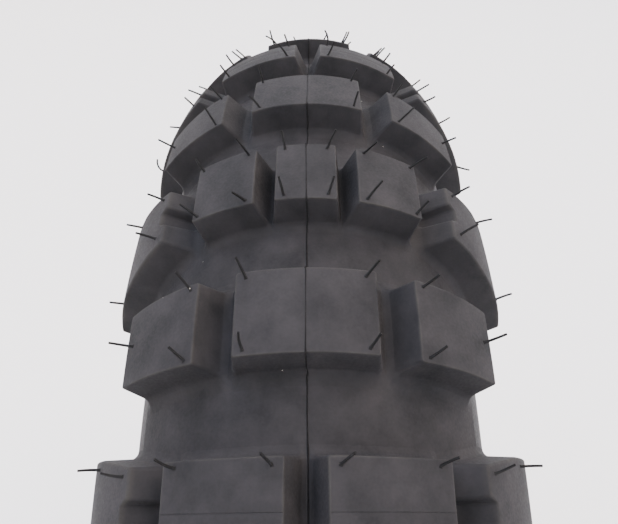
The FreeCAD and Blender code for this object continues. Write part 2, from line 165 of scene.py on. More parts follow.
def sweep(bm: BMesh, edges: list[BMEdge], frames: list[Matrix]) -> list[BMEdge]:
    """Extrude edges from each frame to the next.

    Args:
        bm: the mesh that is grown.
        edges: the section's edges, already in place at the first frame.
        frames: where the section stands at each step.

    Returns:
        The section's edges at the last frame.
    """
    for before, after in zip(frames, frames[1:]):
        result = bmesh.ops.extrude_edge_only(bm, edges=edges)
        edges = new_parts(result, BMEdge)
        moved = new_parts(result, BMVert)
        bmesh.ops.transform(bm, matrix=after @ before.inverted(), verts=moved)
    return edges


def outline_loop(bm: BMesh, points: list[Vector]) -> list[BMEdge]:
    """Join points, in order, into a closed loop of edges.

    Args:
        bm: the mesh that the loop is added to.
        points: the corners, in space.

    Returns:
        The loop's edges.
    """
    verts = [bm.verts.new(point) for point in points]
    return [bm.edges.new(pair) for pair in zip(verts, verts[1:] + verts[:1])]


def spin_ring(points: list[Vector], steps: int) -> BMesh:
    """Spin a closed section once round the axle: one sector first, then copies of it.

    Args:
        points: the section's corners, (across, out).
        steps: how many steps make the turn, a multiple of the sectors.

    Returns:
        The closed ring.
    """
    bm = bmesh.new()
    edges = outline_loop(bm, [about_axle(point, 0.0) for point in points])
    bmesh.ops.spin(
        bm,
        geom=bm.verts[:] + edges,
        cent=(0, 0, 0),
        axis=(0, 1, 0),
        angle=FULL_TURN / SECTORS,
        steps=steps // SECTORS,
    )
    repeat_round(bm, with_faces(bm.verts[:]), FULL_TURN / SECTORS, SECTORS)
    bmesh.ops.remove_doubles(bm, verts=bm.verts, dist=MERGE)
    return bm


def repeat_round(bm: BMesh, geom: list, angle: float, copies: int) -> None:
    """Copy parts of a mesh round the axle.

    Args:
        bm: the mesh.
        geom: the vertices, edges and faces to copy.
        angle: the angle from one copy to the next.
        copies: how many there are in the end, the first included.
    """
    bmesh.ops.spin(
        bm,
        geom=geom,
        cent=(0, 0, 0),
        axis=(0, 1, 0),
        angle=angle * (copies - 1),
        steps=copies - 1,
        use_duplicate=True,
    )


def to_side(bm: BMesh, side: Side) -> None:
    """Put a shape that was made on the right on the given side."""
    bmesh.ops.scale(bm, vec=(1, side.value, 1), verts=bm.verts)


def finish_piece(bm: BMesh, name: str, finish: Material, nodes: tuple = ()) -> Object:
    """Turn a mesh into a finished piece that rides on the tyre.

    Args:
        bm: the mesh, which is used up.
        name: the piece's name.
        finish: its material.
        nodes: the design's nodes that the piece stands for.

    Returns:
        The piece's object.
    """
    bmesh.ops.remove_doubles(bm, verts=bm.verts, dist=MERGE)
    bmesh.ops.recalc_face_normals(bm, faces=bm.faces)
    mesh = bpy.data.meshes.new(name)
    bm.to_mesh(mesh)
    bm.free()
    mesh.shade_smooth()
    mesh.set_sharp_from_angle(angle=SHARP_ANGLE)
    mesh.materials.append(finish)
    piece = bpy.data.objects.new(name, mesh)
    bpy.context.scene.collection.objects.link(piece)
    weigh = piece.modifiers.new("even_faces", "WEIGHTED_NORMAL")
    weigh.keep_sharp = True
    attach(piece, BODY)
    if nodes:
        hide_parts(*nodes)
    LOG.info("%s: %d faces", name, len(mesh.polygons))
    return piece


# ---------------------------------------------------------------- finishes


def linear(colour: str) -> tuple[float, float, float, float]:
    """Turn an sRGB hex colour into the linear values that shaders take.

    Args:
        colour: six hex digits after a hash.

    Returns:
        Red, green, blue and a full alpha.
    """
    parts = [int(colour[i : i + 2], 16) / 255 for i in (1, 3, 5)]
    spread = [p / 12.92 if p <= 0.04045 else ((p + 0.055) / 1.055) ** 2.4 for p in parts]
    return (*spread, 1.0)


def add_node(tree: ShaderNodeTree, kind: str, inputs: dict | None = None, **settings) -> ShaderNode:
    """Add a shader node with its settings, values and links.

    Args:
        tree: the material's node tree.
        kind: the node's type, without its ShaderNode prefix.
        inputs: for each input, by name or number, a value or the output that feeds it.
        **settings: the node's own properties.

    Returns:
        The node.
    """
    node = tree.nodes.new(f"ShaderNode{kind}")
    for key, value in settings.items():
        setattr(node, key, value)
    for key, value in (inputs or {}).items():
        if isinstance(value, NodeSocket):
            tree.links.new(value, node.inputs[key])
        else:
            node.inputs[key].default_value = value
    return node


def start_material(name: str) -> tuple[Material, ShaderNodeTree, NodeSocket]:
    """Start a material.

    Args:
        name: the material's name.

    Returns:
        The material, its empty node tree and the object coordinates.
    """
    material = bpy.data.materials.new(name)
    material.use_nodes = True
    tree = material.node_tree
    tree.nodes.clear()
    return material, tree, add_node(tree, "TexCoord").outputs["Object"]


def close_material(tree: ShaderNodeTree, inputs: dict) -> None:
    """End a material with one Principled shader."""
    shader = add_node(tree, "BsdfPrincipled", inputs)
    add_node(tree, "OutputMaterial", {"Surface": shader.outputs[0]})


def blend_colours(
    tree: ShaderNodeTree, factor: NodeSocket, first: NodeSocket | tuple, second: tuple
) -> NodeSocket:
    """Mix two colours, the first of which may be an output, by a factor."""
    inputs = {"Factor": factor, 6: first, 7: second}  # 6 and 7 are the colour mix's A and B
    return add_node(tree, "Mix", inputs, data_type="RGBA").outputs[2]


def winding_ridges(
    tree: ShaderNodeTree, place: NodeSocket, pitch: float, slope: float, radius: float
) -> NodeSocket:
    """Draw even ridges that run across the tyre on a slant.

    Args:
        tree: the material's node tree.
        place: the object coordinates.
        pitch: distance from ridge to ridge round the tyre.
        slope: how far a ridge moves round the tyre for each step across it.
        radius: how far from the axle the pitch is true.

    Returns:
        A level from 0 in the hollows to 1 on the ridges.
    """
    axes = add_node(tree, "SeparateXYZ", {0: place}).outputs
    around = add_node(tree, "Math", {0: axes[0], 1: axes[2]}, operation="ARCTAN2").outputs[0]
    ridges = float(round(FULL_TURN * radius / pitch))
    turned = add_node(tree, "Math", {0: around, 1: ridges}, operation="MULTIPLY").outputs[0]
    slant = {0: axes[1], 1: FULL_TURN * slope / pitch, 2: turned}
    phase = add_node(tree, "Math", slant, operation="MULTIPLY_ADD").outputs[0]
    wave = add_node(tree, "Math", {0: phase}, operation="SINE").outputs[0]
    return add_node(tree, "MapRange", {0: wave, 1: -1.0, 2: 1.0}).outputs[0]


@dataclass(frozen=True)
class Rubber:
    """Cured carbon-black rubber as it leaves a steel mould: dark, matt, faintly mottled.

    The mould's blasted face leaves a fine grain and dust sticks as pale specks; along the
    knobs' rounded top edges a lighter grey is mixed in as a painted highlight.
    """

    name: str
    dark: str
    light: str
    # Lighter grey of the painted highlight along the knobs' top edges.
    highlight_colour: str = "#302f2e"
    roughness: tuple[float, float] = (0.68, 0.84)
    mottle_mm: float = 14.0
    grain_mm: float = 0.9  # a blasted mould's grain is about 0.2 mm: drawn coarser, to show
    grain_depth_mm: float = 0.05
    ior: float = 1.52
    shine: float = 0.12
    speck_mm: float = 9.0
    speck_size: float = 0.022
    speck_colour: str = "#b9b4ac"

    def material(self) -> Material:
        """Build the material."""
        material, tree, place = start_material(self.name)
        clouds = {"Vector": place, "Scale": 1 / (self.mottle_mm * MM), "Detail": 4.0}
        mottle = add_node(tree, "TexNoise", clouds | {"Roughness": 0.6}).outputs[0]
        blast = {"Vector": place, "Scale": 1 / (self.grain_mm * MM), "Detail": 2.0}
        grain = add_node(tree, "TexNoise", blast).outputs[0]
        level = add_node(tree, "MapRange", {0: mottle, 1: 0.32, 2: 0.68}).outputs[0]
        colour = blend_colours(tree, level, linear(self.dark), linear(self.light))
        # Painted highlight: the top edges, marked by the mesh's edge attribute, turn towards the
        # lighter grey, more where the mottle is light.
        edge = add_node(tree, "Attribute", attribute_name="edge").outputs["Fac"]
        highlight_share = add_node(tree, "Math", {0: edge, 1: level}, operation="MULTIPLY").outputs[0]
        colour = blend_colours(tree, highlight_share, colour, linear(self.highlight_colour))
        cells = {"Vector": place, "Scale": 1 / (self.speck_mm * MM)}
        cell = add_node(tree, "TexVoronoi", cells).outputs["Distance"]
        speck = add_node(tree, "Math", {0: cell, 1: self.speck_size}, operation="LESS_THAN")
        colour = blend_colours(tree, speck.outputs[0], colour, linear(self.speck_colour))
        low, high = self.roughness
        rough = add_node(tree, "MapRange", {0: grain, 1: 0.3, 2: 0.7, 3: low, 4: high}).outputs[0]
        relief = {"Height": grain, "Distance": self.grain_depth_mm * MM, "Strength": 0.6}
        bump = add_node(tree, "Bump", relief).outputs[0]
        inputs = {"Base Color": colour, "Roughness": rough, "Normal": bump}
        close_material(tree, inputs | {"IOR": self.ior, "Specular IOR Level": self.shine})
        return material


@dataclass(frozen=True)
class Cords:
    """Parallel cords under a skin of rubber: fine even ridges, the cord's colour on their tops."""

    name: str
    rubber: str
    cord: str
    pitch_mm: float
    lay_degrees: float
    radius: float
    roughness: float = 0.7
    depth_mm: float = 0.15

    def material(self) -> Material:
        """Build the material."""
        material, tree, place = start_material(self.name)
        slope = math.tan(math.radians(self.lay_degrees))
        height = winding_ridges(tree, place, self.pitch_mm * MM, slope, self.radius)
        colour = blend_colours(tree, height, linear(self.rubber), linear(self.cord))
        bump = add_node(tree, "Bump", {"Height": height, "Distance": self.depth_mm * MM})
        inputs = {"Base Color": colour, "Roughness": self.roughness, "Normal": bump.outputs[0]}
        close_material(tree, inputs)
        return material


@dataclass(frozen=True)
class BeadSteel:
    """Bronze-coated steel wire wound into a cable: warm metal with slanting strands."""

    name: str = "bronze_coated_bead_wire"
    coating: str = "#a98a5c"
    shade: str = "#7a6038"
    strand_mm: float = 1.4
    strand_depth_mm: float = 0.3
    slope: float = 0.5
    roughness: float = 0.34
    radius: float = 224.5 * MM

    def material(self) -> Material:
        """Build the material."""
        material, tree, place = start_material(self.name)
        level = winding_ridges(tree, place, self.strand_mm * MM, self.slope, self.radius)
        colour = blend_colours(tree, level, linear(self.shade), linear(self.coating))
        bump = add_node(tree, "Bump", {"Height": level, "Distance": self.strand_depth_mm * MM})
        inputs = {"Base Color": colour, "Roughness": self.roughness, "Normal": bump.outputs[0]}
        close_material(tree, inputs | {"Metallic": 1.0})
        return material


# Tread compound from the mould: near-black with a faint warm mottle and a few specks of dust.
TREAD_RUBBER = Rubber("moulded_tread_rubber", "#1e1e20", "#2c2b2d")
# Flash that bled between the mould halves, also used for the vent hairs: the same compound,
# rough and torn, and coloured darker than the tread as painted shade on the thin fin and the hairs.
PAINTED_SHADE_FLASH = Rubber("painted_shade_flash_rubber", "#0f0f10", "#1b1b1c", roughness=(0.7, 0.85))
# Sidewall compound: a little smoother and darker than the tread.
SIDEWALL_RUBBER = Rubber(
    "moulded_sidewall_rubber", "#1c1c1e", "#272628", roughness=(0.5, 0.65), mottle_mm=30.0
)
# Chafer: hard rubber, polished by the mould's bead ring.
CHAFER_RUBBER = Rubber(
    "hard_chafer_rubber", "#161617", "#1f1f20", roughness=(0.42, 0.55), mottle_mm=20.0
)
# Butyl liner: pressed by the curing bladder, smooth and slightly glossy.
LINER_RUBBER = Rubber(
    "butyl_liner_rubber", "#1c1c1f", "#262629", roughness=(0.35, 0.5), mottle_mm=40.0
)
# Filler and undertread: cut or extruded before the cure, so duller than a moulded face.
FILLER_RUBBER = Rubber("extruded_filler_rubber", "#262627", "#303031", roughness=(0.6, 0.75))
BASE_RUBBER = Rubber("extruded_undertread_rubber", "#2b2a2a", "#353434", roughness=(0.6, 0.75))
# Carcass: polyamide cords from bead to bead. Belts: aramid cords on a slant.
CARCASS_CORDS = Cords("coated_polyamide_cord", "#2a2725", "#6a5a48", 1.2, 0.0, 300.0 * MM)
BELT_CORDS = Cords("coated_aramid_cord", "#2d2a22", "#a8893c", 1.4, 24.0, 306.0 * MM)
# Bead wrap: woven tape wound round the cable.
WRAP_TAPE = Cords("woven_wrap_tape", "#34322f", "#6f6a60", 0.9, 52.0, 224.5 * MM, 0.8)


# ---------------------------------------------------------------- the tyre's section


@dataclass(frozen=True)
class Section:
    """The tyre's outline in a plane through its axle. A point is (across, out from the axle).

    The outline is a crown arc, a shoulder arc and a straight lower sidewall. Depths are
    measured outwards from the inside of the tyre.
    """

    tread_radius: float
    floor_radius: float
    seat_radius: float
    tread_arc: float = 75.5 * MM
    crown_span: float = math.radians(60)
    shoulder_arc: float = 40.6 * MM
    wall: float = 9.5 * MM
    inner_lean: float = math.radians(20)
    face_lean: float = math.radians(14)
    liner: float = 1.2 * MM
    plies: float = 1.8 * MM
    cap: float = 2.5 * MM
    chafer: float = 1.6 * MM
    bead: float = 2.8 * MM
    chafer_top: float = 229.96 * MM
    chafer_joint: float = 2.6 * MM
    lap: float = 5.0 * MM

    @classmethod
    def from_frame(cls) -> "Section":
        """Read the section's radii from the design."""
        seat = next(m for m in frame["record"]["mounts"] if m["name"] == "bead_seat_right")
        return cls(
            tread_radius=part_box("centre_knobs")[1].x,
            floor_radius=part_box("tread_cap")[1].z,
            seat_radius=seat["dims"]["r_mm"] * MM,
        )

    @property
    def crown_centre(self) -> Vector:
        """Centre of the crown arcs."""
        return Vector((0.0, self.tread_radius - self.tread_arc))

    @property
    def floor_arc(self) -> float:
        """Radius of the groove floor's arc."""
        return self.floor_radius - self.crown_centre.y

    @property
    def shoulder_centre(self) -> Vector:
        """Centre of the shoulder arcs."""
        return self.crown_centre + polar(self.floor_arc - self.shoulder_arc, self.crown_span)

    @property
    def bead_centre(self) -> Vector:
        """Centre of the bead's round section."""
        height = self.seat_radius + self.chafer + self.plies + self.bead
        depth = self.liner + self.plies + self.bead
        top = self.inside(depth, 0.0)
        drop = (top.y - height) / math.cos(self.inner_lean)
        return self.inside(depth, drop)

    def tread(self, angle: float) -> Vector:
        """A point on the knobs' crowned top."""
        return self.crown_centre + polar(self.tread_arc, angle)

    def inside(self, depth: float, down: float) -> Vector:
        """A point beside the inner line of the lower sidewall, below the shoulder arc's end."""
        radius = self.shoulder_arc - self.wall + depth
        start = self.shoulder_centre + polar(radius, math.pi / 2 + self.inner_lean)
        return start - polar(down, self.inner_lean)

    def outside(self, height: float) -> Vector:
        """The point of the lower sidewall's outer face at a distance from the axle."""
        top = self.shoulder_centre + polar(self.shoulder_arc, math.pi / 2 + self.face_lean)
        return top - polar((top.y - height) / math.cos(self.face_lean), self.face_lean)

    def above_tread(self, point: Vector) -> float:
        """How far a point in space stands outside the knobs' crowned top."""
        out = math.hypot(point.x, point.z) - self.crown_centre.y
        return math.hypot(point.y, out) - self.tread_arc

    def above_casing(self, point: Vector) -> float:
        """How far a point in space stands outside the groove floor or the shoulder."""
        place = Vector((abs(point.y), math.hypot(point.x, point.z)))
        spoke = place - self.crown_centre
        if math.atan2(spoke.x, spoke.y) <= self.crown_span:
            return spoke.length - self.floor_arc
        return (place - self.shoulder_centre).length - self.shoulder_arc


# ---------------------------------------------------------------- knobs


@dataclass(frozen=True)
class Ring:
    """One ring of a knob's wall, from its top edge to its foot.

    Args:
        level: 0 at the knob's top, 1 at the groove floor.
        drop: distance below that level.
        spread: how far outside the outline, past the slope of the wall.
        edge: how much painted highlight the material puts on the ring, along the top edge.
    """

    level: float
    drop: float
    spread: float
    edge: float = 0.0


@dataclass(frozen=True)
class Knob:
    """A rubber block, made on a flat plane that touches the tread and then bent onto it.

    The plane's x runs round the tyre and its w runs outwards.
    """

    section: Section
    first_degrees: float
    last_degrees: float
    length_degrees: float = 5.0
    foot: float = 4.0 * MM
    edge_round: float = 0.35 * MM
    corner_round: float = 0.8 * MM
    draft: float = math.radians(5)
    sipe: bool = False
    sipe_half: float = 0.3 * MM
    sipe_depth: float = 0.25 * MM
    cut_length: float = 4.5 * MM
    concave_spread: float = 0.35
    root: float = 1.6 * MM
    edge_steps: int = 3
    foot_steps: int = 5

    @property
    def tilt(self) -> float:
        """Angle at which the flat plane touches the tread."""
        return math.radians(self.first_degrees + self.last_degrees) / 2

    @property
    def depth(self) -> float:
        """Depth of the grooves."""
        return self.section.tread_radius - self.section.floor_radius

    def half(self, degrees: float, length: float) -> float:
        """Half the knob's length round the tyre."""
        return self.section.tread(math.radians(degrees)).y * math.sin(math.radians(length) / 2)

    def across(self, degrees: float) -> float:
        """Where on the flat plane an angle on the tread lies."""
        return self.section.tread_arc * math.sin(math.radians(degrees) - self.tilt)

    def outline(self) -> list[tuple[float, float]]:
        """The knob's corners on the flat plane."""
        near, far = self.across(self.first_degrees), self.across(self.last_degrees)
        near_half = self.half(self.first_degrees, self.length_degrees)
        far_half = self.half(self.last_degrees, self.length_degrees)
        return [(-near_half, near), (near_half, near), (far_half, far), (-far_half, far)]

    def rings(self) -> list[Ring]:
        """The rings of the wall, from the flat of the top to the buried root."""
        edge, foot = self.edge_round, self.foot
        # The fourth value of a ring is its share of the painted highlight on the rounded top edge.
        rings = [Ring(0, 0, -2 * edge), Ring(0, 0, -edge, 0.6)]
        for step in range(1, self.edge_steps + 1):
            turn = math.pi / 2 * step / self.edge_steps
            rings.append(Ring(0, edge * (1 - math.cos(turn)), edge * (math.sin(turn) - 1), 1.0))
        rings.append(Ring(0, 3 * edge, 0, 0.0))
        for step in range(self.foot_steps + 1):
            turn = math.pi / 2 * step / self.foot_steps
            rings.append(Ring(1, foot * (math.sin(turn) - 1), foot * (1 - math.cos(turn))))
        rings.append(Ring(1, 0.1 * MM, foot + 0.4 * MM))
        rings.append(Ring(1, self.root, foot / 2))
        return rings

    def flat_point(self, x: float, w: float) -> Vector:
        """The place in space of a point on the flat plane."""
        touch = about_axle(self.section.tread(self.tilt), 0.0)
        return touch + Vector((x, w * math.cos(self.tilt), -w * math.sin(self.tilt)))

    def sink(self, start: Vector, above: Callable[[Vector], float]) -> float:
        """How deep below the flat plane a surface lies.

        Args:
            start: a point on the flat plane, in space.
            above: how far a point stands outside the surface.

        Returns:
            The depth along the plane's inward normal.
        """
        inward = Vector((0, -math.sin(self.tilt), -math.cos(self.tilt)))
        depth = 0.0
        for _ in range(24):
            depth += above(start + inward * depth)
        return depth

    def bend(self, base: Vector, away: Vector, ring: Vector) -> Vector:
        """Carry a point of the flat block to its place on the tyre.

        Args:
            base: the point's place on the outline, (x, w).
            away: its way outwards, (x, w).
            ring: its level, drop and spread.

        Returns:
            The point in space.
        """
        level, drop, spread = ring
        foot = self.flat_point(base.x, base.y)
        top_depth = self.sink(foot, self.section.above_tread)
        whole = self.sink(foot, self.section.above_casing) - top_depth
        out = math.tan(self.draft) * (level * whole + drop) + spread
        start = self.flat_point(base.x + away.x * out, base.y + away.y * out)
        top = self.sink(start, self.section.above_tread)
        floor = self.sink(start, self.section.above_casing)
        depth = top * (1 - level) + floor * level + drop
        return start + Vector((0, -math.sin(self.tilt), -math.cos(self.tilt))) * depth

    def block(self) -> BMesh:
        """Build one knob, closed, on the right-hand side at the top of the tyre."""
        bm = bmesh.new()
        base = bm.verts.layers.float_vector.new("base")
        away = bm.verts.layers.float_vector.new("away")
        ring_layer = bm.verts.layers.float_vector.new("ring")
        # This layer carries each vertex's share of painted highlight to the material.
        highlight_layer = bm.verts.layers.float.new("edge")
        corners = [bm.verts.new((x, w, 0)) for x, w in self.outline()]
        bm.faces.new(corners)
        bmesh.ops.bevel(
            bm,
            geom=corners,
            offset=self.corner_round,
            offset_type="OFFSET",
            affect="VERTICES",
            segments=3,
            profile=0.5,
            material=-1,
        )
        loop = [corner.vert for corner in bm.faces[:][0].loops]
        turned = sum(a.co.x * b.co.y - b.co.x * a.co.y for a, b in zip(loop, loop[1:] + loop[:1]))
        for before, here, after in zip(loop[-1:] + loop[:-1], loop, loop[1:] + loop[:1]):
            here[base] = here.co
            here[away] = self.outwards(before.co, here.co, after.co, math.copysign(1, turned))
        rings = self.rings()
        edges = bm.edges[:]
        self.mark(bm.verts[:], rings[0], (ring_layer, highlight_layer))
        for ring in rings[1:]:
            result = bmesh.ops.extrude_edge_only(bm, edges=edges)
            edges = new_parts(result, BMEdge)
            self.mark(new_parts(result, BMVert), ring, (ring_layer, highlight_layer))
        bmesh.ops.edgeloop_fill(bm, edges=edges)
        for vert in bm.verts:
            level, drop, spread = vert[ring_layer]
            out = math.tan(self.draft) * (level * self.depth + drop) + spread
            flat = vert[base] + vert[away] * out
            vert.co = (flat.x, flat.y, -level * self.depth - drop)
        self.cut(bm)
        if self.sipe:
            for vert in bm.verts:
                if abs(vert.co.x) < MERGE and vert[ring_layer].x == 0:
                    vert[ring_layer] = vert[ring_layer] + Vector((0, self.sipe_depth, 0))
        for vert in bm.verts:
            vert.co = self.bend(vert[base], vert[away], vert[ring_layer])
        return bm

    def mark(self, verts: list[BMVert], ring: Ring, layers: tuple) -> None:
        """Note on each vertex which ring it belongs to."""
        for vert in verts:
            vert[layers[0]] = (ring.level, ring.drop, ring.spread)
            vert[layers[1]] = ring.edge

    def outwards(self, before: Vector, here: Vector, after: Vector, sense: float) -> Vector:
        """The way out of the outline at a corner, long enough to keep both edges parallel.

        Args:
            before: the corner before.
            here: the corner.
            after: the corner after.
            sense: 1 if the outline runs anticlockwise, -1 if clockwise.

        Returns:
            The step for a spread of one, shortened where the outline is hollow.
        """
        arriving, leaving = (here - before).normalized(), (after - here).normalized()
        normals = [Vector((way.y, -way.x, 0)) * sense for way in (arriving, leaving)]
        middle = (normals[0] + normals[1]).normalized()
        reach = middle / max(middle.dot(normals[0]), 0.5)
        hollow = arriving.cross(leaving).z * sense < 0
        return reach * (self.concave_spread if hollow else 1.0)

    def cut(self, bm: BMesh) -> None:
        """Cut the flat block into cells that can follow the tyre's curves."""
        for axis in range(2):
            values = [vert.co[axis] for vert in bm.verts]
            low, high = min(values), max(values)
            count = round((high - low) / self.cut_length)
            planes = [low + (high - low) * i / count for i in range(1, count)]
            if axis == 0 and self.sipe:
                planes = [p for p in planes if abs(p) > 2 * self.sipe_half]
                planes += [-self.sipe_half, 0.0, self.sipe_half]
            normal = Vector((axis == 0, axis == 1, 0))
            for place in planes:
                bmesh.ops.bisect_plane(
                    bm,
                    geom=bm.verts[:] + bm.edges[:] + bm.faces[:],
                    dist=MERGE,
                    plane_co=normal * place,
                    plane_no=normal,
                )

    def middle_profile(self) -> list[Vector]:
        """The knob's outline in the middle plane, from one groove floor to the other."""
        half = self.half(0.0, self.length_degrees)
        rings = [Vector((r.level, r.drop, r.spread)) for r in self.rings()[:-2]]
        near = [self.bend(Vector((half, 0)), Vector((1, 0)), ring) for ring in rings]
        return [Vector((-p.x, p.y, p.z)) for p in reversed(near)] + near


@dataclass(frozen=True)
class ShoulderKnob(Knob):
    """The long block that runs down over the shoulder, wider outwards, with a notch each end."""

    flare_degrees: float = 60.0
    flare_length_degrees: float = 6.8
    notch: float = 3.0 * MM
    far_notch: float = 6.0 * MM
    notch_width: float = 6.0 * MM
    far_length_degrees: float = 8.2
    edge_round: float = 0.7 * MM

    def outline(self) -> list[tuple[float, float]]:
        """The knob's corners on the flat plane."""
        near, far = self.across(self.first_degrees), self.across(self.last_degrees)
        flare = self.across(self.flare_degrees)
        near_half = self.half(self.first_degrees, self.length_degrees)
        flare_half = self.half(self.flare_degrees, self.flare_length_degrees)
        far_half = self.half(self.last_degrees, self.far_length_degrees)
        floor = self.notch_width / 2
        mouth = floor + self.notch / 2
        half = [(floor, near + self.notch), (mouth, near), (near_half, near), (flare_half, flare)]
        half += [(far_half, far), (mouth, far), (floor, far - self.far_notch)]
        return half + [(-x, w) for x, w in reversed(half)]


@dataclass
class KnobRing:
    """All the knobs of one kind on one side, which stand for one node of the design."""

    node: str
    knob: Knob
    row: Row
    side: Side = Side.RIGHT

    def build(self, finish: Material) -> Object:
        """Build the ring of knobs.

        Args:
            finish: the rubber.

        Returns:
            The piece.
        """
        bm = self.knob.block()
        to_side(bm, self.side)
        bmesh.ops.transform(bm, matrix=round_axle(self.row.first), verts=bm.verts)
        repeat_round(bm, with_faces(bm.verts[:]), FULL_TURN / self.row.count, self.row.count)
        return finish_piece(bm, f"moulded_{self.node}", finish, (self.node,))


@dataclass
class Tread:
    """The knobs of every row and the groove floor they stand on."""

    section: Section
    floor_steps: int = 360

    def __post_init__(self) -> None:
        """Set out the kinds of knob."""
        deep, close = 4.0 * MM, 2.8 * MM
        self.centre = Knob(self.section, -16.6, 16.6, foot=deep)
        self.short_centre = Knob(self.section, -8.0, 8.0, foot=close)
        self.side = Knob(self.section, 26.8, 52.6, foot=deep)
        self.twin = Knob(self.section, 4.5, 32.3, foot=3.2 * MM, sipe=True)
        self.short_side = Knob(self.section, 13.7, 31.6, foot=close)
        self.shoulder = ShoulderKnob(self.section, 43.8, 84.0, foot=3.0 * MM)

    def rings(self) -> list[KnobRing]:
        """Every ring of knobs, with the design's node that it stands for."""
        rings = [
            KnobRing("centre_knobs", self.centre, Row.WIDE),
            KnobRing("short_centre_knobs", self.short_centre, Row.SHORT),
        ]
        for side in Side:
            end = side.name.lower()
            rings += [
                KnobRing(f"side_knobs_{end}", self.side, Row.WIDE, side),
                KnobRing(f"twin_knobs_{end}", self.twin, Row.TWIN, side),
                KnobRing(f"short_side_knobs_{end}", self.short_side, Row.SHORT, side),
                KnobRing(f"shoulder_knobs_{end}", self.shoulder, Row.SHOULDER, side),
            ]
        return rings

    def build_floor(self, finish: Material) -> Object:
        """Build the smooth groove floor.

        Args:
            finish: the rubber.

        Returns:
            The piece.
        """
        shape = self.section
        span, centre = shape.crown_span, shape.crown_centre
        outer = arc(centre, shape.floor_arc, -span, span, 40)
        inner = arc(centre, shape.floor_arc - shape.cap, span, -span, 20)
        bm = spin_ring(outer + inner, self.floor_steps)
        return finish_piece(bm, "groove_floor", finish, ("tread_cap",))

    def build(self, finish: Material) -> None:
        """Build the floor and every ring of knobs."""
        self.build_floor(finish)
        for ring in self.rings():
            ring.build(finish)


@dataclass
class MouldLine:
    """The fine fin of rubber where the two halves of the mould met, all along the middle."""

    tread: Tread
    half_width: float = 0.28 * MM
    height: float = 0.45 * MM
    buried: float = 0.15 * MM
    over_feet: float = 1.15 * MM
    feet: tuple[float, float] = (14.5 * MM, 19.0 * MM)
    wander: float = 0.5 * MM

    def path(self) -> list[Vector]:
        """Points along the middle plane, over floors, walls and knob tops, for one turn."""
        section = self.tread.section
        floor = section.floor_radius
        flat, ramp = (reach / floor for reach in self.feet)
        high = self.over_feet
        rise = [(0.0, -ramp), (high, -flat), (high, 0.0), (high, flat), (0.0, ramp)]
        profiles = {
            0: [about_axle(Vector((0, floor + lift)), turn) for lift, turn in rise],
            1: self.tread.centre.middle_profile(),
            2: self.tread.short_centre.middle_profile(),
            3: self.tread.centre.middle_profile(),
        }
        points = []
        for row in range(ROWS):
            turn = round_axle(row * ROW_STEP)
            points += [turn @ point for point in profiles[row % 4]]
            points.append(about_axle(Vector((0, floor)), (row + 0.5) * ROW_STEP))
        return points

    def build(self, finish: Material) -> Object:
        """Build the fin.

        Args:
            finish: the rubber.

        Returns:
            The piece.
        """
        random.seed(SEED)
        points = self.path()
        frames = []
        drift = 0.0
        for before, here, after in zip(points[-1:] + points[:-1], points, points[1:] + points[:1]):
            drift = 0.75 * drift + random.uniform(-0.5, 0.5) * self.wander
            along = (after - before).normalized()
            across = Vector((0, 1, 0))
            out = along.cross(across).normalized()
            out = out if out.dot(here) > 0 else -out
            basis = Matrix((along, across, out)).transposed().to_4x4()
            frames.append(Matrix.Translation(here + across * drift) @ basis)
        frames.append(frames[0])
        half, root = self.half_width, -self.buried
        corners = [(-half, root), (0, self.height), (half, root)]
        bm = bmesh.new()
        edges = outline_loop(bm, [frames[0] @ Vector((0, y, z)) for y, z in corners])
        sweep(bm, edges, frames)
        return finish_piece(bm, "mould_line", finish)


